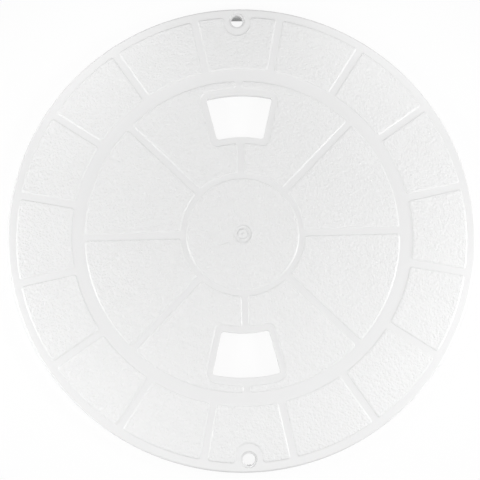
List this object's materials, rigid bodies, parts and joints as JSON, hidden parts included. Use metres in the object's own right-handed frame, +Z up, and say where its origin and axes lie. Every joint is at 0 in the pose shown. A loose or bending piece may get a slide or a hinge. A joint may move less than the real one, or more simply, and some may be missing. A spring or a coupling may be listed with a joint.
{
  "type": "pool skimmer lid",
  "caption": "Round white deck lid for a pool skimmer: raised grained pads between smooth lands, finger windows, screw holes in smooth lands, and a skirted, ribbed underside.",
  "frame": {"origin": "middle of the seat plane, on the foot of the skirt", "axes": "+Z up through the top face, +Y towards one screw hole"},
  "size_m": [0.2509, 0.251, 0.0127],
  "materials": {
    "white_plastic": "white moulded plastic, satin on the lands, fine pebble grain on the pads and the hub"
  },
  "bodies": {
    "root": {"lid": "white_plastic"}
  },
  "joints": []
}
